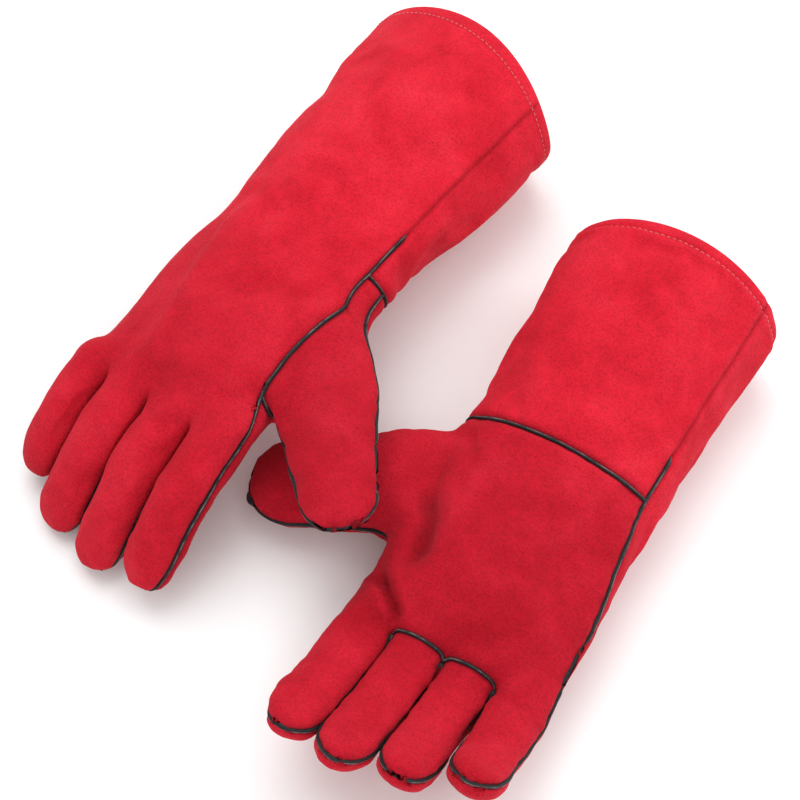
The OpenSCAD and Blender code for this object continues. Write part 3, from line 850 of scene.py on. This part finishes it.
def build_glove(g):
    name, place = GLOVES[g], Place(g)
    cage = glove_cage(g)
    v = np.array(cage.points)
    panel_names = sorted(set(cage.panels))
    groups, owners = [], []
    for corners in (3, 4):
        ids = [i for i, f in enumerate(cage.faces) if len(f) == corners]
        groups.append(np.array([cage.faces[i] for i in ids]))
        marks = [HEM_MARK * (i in cage.hem) + FLAP_MARK * (i in cage.flap) for i in ids]
        owners.append(np.array([panel_names.index(cage.panels[i]) + mark for i, mark in zip(ids, marks)]))
    chains = cage.chains
    for _ in range(2):
        v, groups, owners, chains = subdivided(v, groups, owners, chains)
    quads = groups[0]
    centre = v.mean(0)
    if (np.einsum("ij,ij->i", v - centre, normals_of(v, quads))).mean() < 0:
        groups = [quads[:, ::-1].copy()]
        quads = groups[0]

    # the lining follows the leather with fewer points, and stops under the flap of the rim
    coarse, coarse_panel = quads[owners[0] < HEM_MARK], owners[0][owners[0] < HEM_MARK]

    pins = set()
    for key in WELTED + PLAIN + ["mouth", "hem"]:
        pins.update(chains[key])
    hem_zone = np.nonzero(v[:, 1] > 128)[0]
    pins.update(int(i) for i in hem_zone)
    caps = np.full(len(v), 3.0)
    caps[v[:, 1] < -112] = 1.3
    caps[(v[:, 0] > 62) & (v[:, 1] > -112)] = 1.6
    move = relaxed(cloth_pass(v, quads, sorted(pins), caps), quads, 1)
    v = v + move
    for _ in range(LEVEL - 2):
        v, groups, owners, chains = subdivided(v, groups, owners, chains)
    quads, panel = groups[0], owners[0] % HEM_MARK
    flap = np.zeros(len(v), bool)
    flap[np.unique(quads[owners[0] >= FLAP_MARK])] = True

    # seams sink between the panels, which puff up and pucker beside them
    n = normals_of(v, quads)
    lines = [v[chains[key]] for key in WELTED]
    d, at = distance_to(lines, v)
    d2, _ = distance_to([v[chains[key]] for key in PLAIN], v)
    d3, at3 = distance_to([v[chains["hem"]]], v)
    pucker = np.array([noise.noise(Vector((a / 5.5, 3.3 * g, 1.7))) for a in at])
    wave = np.array([noise.fractal(Vector(p / 34 + 9 * g), 0.9, 2.1, 3) for p in v])
    ripple = np.array([noise.noise(Vector((p[0] / 11, p[1] / 15, p[2] / 11 + 20 * g))) for p in v])
    rise = -1.5 * np.exp(-(d / 1.9) ** 2) + 0.55 * np.exp(-((d - 6) / 4.0) ** 2)
    rise += 0.55 * pucker * np.exp(-((d - 3.0) / 3.0) ** 2)
    rise += -0.9 * np.exp(-(d2 / 1.3) ** 2) + 0.3 * np.exp(-((d2 - 4) / 2.5) ** 2)
    rise += -0.55 * np.exp(-(d3 / 1.0) ** 2) + 0.25 * np.exp(-((d3 - 3.2) / 1.8) ** 2)
    rise += 0.10 * np.sin(at3 * 2 * math.pi / 3.3) * np.exp(-(d3 / 2.0) ** 2)
    rise += 0.9 * wave + 0.35 * ripple
    folds = fold_depth(g, v, n)
    rise -= folds
    still = np.exp(-((np.maximum(0, v[:, 1] - 131)) / 3.0) ** 2)
    v = v + n * (rise * still)[:, None]
    # neighbouring fingers press flat against each other
    finger_of = np.full(len(v), -1)
    for k in range(4):
        ids = [panel_names.index(f"{DIGITS[k]}_{side}") for side in ("back", "front")]
        finger_of[np.unique(quads[np.isin(panel, ids)])] = k
    beyond = v[:, 1] < -HAND - 9
    for k in range(3):
        one, two = FINGERS[g][k], FINGERS[g][k + 1]
        slope = math.tan(math.radians((one[1] + two[1]) / 2))
        wall = (one[0][0] + two[0][0]) / 2 - (v[:, 1] + HAND) * slope
        mine, next_one = beyond & (finger_of == k), beyond & (finger_of == k + 1)
        v[mine, 0] = np.maximum(v[mine, 0], wall[mine] + 0.12)
        v[next_one, 0] = np.minimum(v[next_one, 0], wall[next_one] - 0.12)
    # the underside rests flat on the floor
    world = place(v)
    low = world[:, 2] < FLOOR_BAND
    band = FLOOR_BAND - FLOOR_REST
    world[low, 2] = FLOOR_REST + band * np.exp((world[low, 2] - FLOOR_BAND) / band)
    world[flap, 2] = np.maximum(world[flap, 2], FLAP_FLOOR)
    v = place.back(world)
    n = normals_of(v, quads)
    seam = np.clip(np.exp(-(np.minimum(d, d2 + 0.4) / 1.6) ** 2), 0, 1)
    seam = np.maximum(seam, 0.5 * np.exp(-(d3 / 0.8) ** 2))
    # painted shade in the folds: the deeper a fold, the darker its leather
    seam = np.maximum(seam, np.clip((folds - 1.2) / 4.5, 0, 0.8))
    # painted shade: darker from the cuff to the knuckles, a little lighter on the fingers, darker again on the palm,
    # thumb and finger fronts
    shade = np.array([0.55 * smooth((45 - y) / 130) - 0.22 * smooth((-115 - y) / 30) for y in v[:, 1]])
    painted_shade_panels = [i for i, p in enumerate(panel_names)
              if p == "palm" or "thumb" in p or p.endswith("front") and p != "cuff_front"]
    shade[np.unique(quads[np.isin(panel, painted_shade_panels)])] += 0.35
    shade = relaxed(np.clip(shade, 0, 1)[:, None], quads, 2)[:, 0]

    def faces_of(*panels):
        return np.isin(panel, [panel_names.index(p) for p in panels])

    wrist = dict(start=place.one((0, -5, 0)), end=place.one((0, 20, 0)))

    def across_wrist(obj):
        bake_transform(obj)

    def across_digit(obj, k):
        if k == 4:
            x = THUMBS[g][0][0]
            start, end = (x + 4, THUMBS[g][0][1], 2), (x + 34, THUMBS[g][0][1], 2)
        else:
            x = FINGERS[g][k][0][0]
            start, end = (x, -HAND - 7, HINGE_Z), (x, -HAND - 27, HINGE_Z - 3)
        place.one(start)
        place.one(end)
        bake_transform(obj)

    def skin_piece(piece, *panels):
        return shell_piece(f"{name}_skin_{piece}", place, v, n, quads[faces_of(*panels)], 0, THICK, "suede",
                           seam=seam, shade=shade)

    shells = [
        ("back_leather", ("back",), ("hand_back_leather", "cuff_back_leather")),
        ("cuff_front_leather", ("cuff_front",), ("cuff_front_leather",)),
        ("palm_leather", ("palm", "thumb_root"), ("palm_leather",))]
    for piece, panels, stands_for in shells:
        obj = skin_piece(piece, *panels)
        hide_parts(*(f"{name}_{s}" for s in stands_for))
        across_wrist(obj)
    for k, digit in enumerate(DIGITS):
        for side in ("back", "front"):
            obj = skin_piece(f"{digit}_{side}", f"{digit}_{side}")
            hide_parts(f"{name}_{digit}_{side}_leather")
            across_digit(obj, k)

    # linings
    lv, lq, lp = v[:coarse.max() + 1], coarse, coarse_panel
    ln = n[:len(lv)]
    ids = np.unique(lq)

    def lining_faces(*panels):
        return np.isin(lp, [panel_names.index(p) for p in panels])

    skin = BVHTree.FromPolygons([tuple(p) for p in v], [tuple(int(i) for i in f) for f in quads])

    def depth_of(points):
        """How far below the leather's outer surface each point lies."""
        found = [(Vector(p), skin.find_nearest(Vector(p))) for p in points]
        return np.array([(near - p).dot(out) for p, (near, out, _, _) in found])

    # in the cuff it lies a little deeper beside a sunken seam; elsewhere it stops short of the narrow places
    depth = np.zeros(len(lv))
    depth[ids] = depth_of(lv[ids] - ln[ids] * LINING_TOP)
    in_cuff = lv[:, 1] > -20
    below = np.where(in_cuff, LINING_TOP + np.clip(2.0 - depth, 0, 0.9), LINING_TOP)
    lining = (below, below + LINING_BOTTOM - LINING_TOP, "lining")
    sound = (depth[lq] > 1.65).all(1)
    outer, inner = lv - ln * LINING_TOP, lv - ln * LINING_BOTTOM
    for surface in (outer, inner):
        sound &= depth_of(surface[lq].mean(1)) > 1.3
    for i in range(4):
        sound &= depth_of((outer[lq[:, i]] + outer[lq[:, (i + 1) % 4]]) / 2) > 1.2
    hand_faces = lining_faces("back", "cuff_front", "palm", "thumb_root") & (sound | in_cuff[lq].all(1))
    obj = shell_piece(f"{name}_lining_hand", place, lv, ln, lq[hand_faces], *lining)
    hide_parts(f"{name}_hand_lining", f"{name}_cuff_lining")
    across_wrist(obj)
    for k, digit in enumerate(DIGITS):
        faces = lq[lining_faces(f"{digit}_back", f"{digit}_front") & sound]
        obj = shell_piece(f"{name}_lining_{digit}", place, lv, ln, faces, *lining)
        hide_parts(f"{name}_{digit}_lining")
        across_digit(obj, k)

    # welts
    def part(key, seed, fade=(1, 1), width=1.0, squeezed=False):
        return welt_parts(v[chains[key]], n[chains[key]], seed + 20 * g, fade, width, squeezed)

    sides = [part("thumb_side", 1, (1, 0)), part("pinky_side", 2, (1, 0)), part("thumb_root", 3, (0, 0))]
    obj = welt_piece(f"{name}_trim_side_welts", place, sides)
    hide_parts(f"{name}_hand_side_welts", f"{name}_cuff_side_welts")
    across_wrist(obj)
    obj = welt_piece(f"{name}_trim_wrist_welt", place, [part("wrist", 4, (0, 0))])
    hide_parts(f"{name}_wrist_welt")
    across_wrist(obj)
    obj = welt_piece(f"{name}_trim_finger_base_welt", place, [part("finger_base", 5)])
    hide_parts(f"{name}_finger_base_welt")
    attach(obj, name + "_hand")
    for k, digit in enumerate(DIGITS):
        obj = welt_piece(f"{name}_trim_{digit}_welt", place, [part(digit, 6 + k, (0, 0), squeezed=0 < k < 3)])
        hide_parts(f"{name}_{digit}_welt")
        across_digit(obj, k)

    # stitching
    hem = chains["hem"]
    obj = stitches(f"{name}_thread_hem", place, v[hem], n[hem], 3.3, 2.5, 0.34, 0.16)
    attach(obj, name + "_cuff")


for g in (0, 1):
    build_glove(g)

# ------------------------------------------------------------------------------------------------ floor and light
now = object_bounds()
floor_mesh = bpy.data.meshes.new("floor")
SIZE = 6.0
floor_mesh.from_pydata([(-SIZE, -SIZE, 0), (SIZE, -SIZE, 0), (SIZE, SIZE, 0), (-SIZE, SIZE, 0)], [], [(0, 1, 2, 3)])
floor = bpy.data.objects.new("floor", floor_mesh)
floor.location = (0, 0, min(0.0, now[0][2]) - 0.0002)
paper, _, paper_shader = material("paper", (0.92, 0.92, 0.92), 0.9)
floor_mesh.materials.append(paper)
bpy.context.scene.collection.objects.link(floor)


def softbox(name, eye, size, watts, colour=(1, 1, 1)):
    light = bpy.data.lights.new(name, "AREA")
    light.shape, light.size, light.energy, light.color = "SQUARE", size, watts, colour
    return aimed(bpy.data.objects.new(name, light), eye, (0, 0, 0.03))


softbox("key", (-0.6, 0.5, 1.5), 1.5, 17)
softbox("fill", (0.9, -1.0, 0.9), 1.4, 5)
softbox("rim", (0.8, 1.1, 0.8), 0.9, 8)
world = bpy.data.worlds.new("studio")
world.use_nodes = True
world.node_tree.nodes["Background"].inputs["Color"].default_value = (1, 1, 1, 1)
world.node_tree.nodes["Background"].inputs["Strength"].default_value = 0.78
bpy.context.scene.world = world
bpy.context.scene.view_settings.view_transform = "Standard"
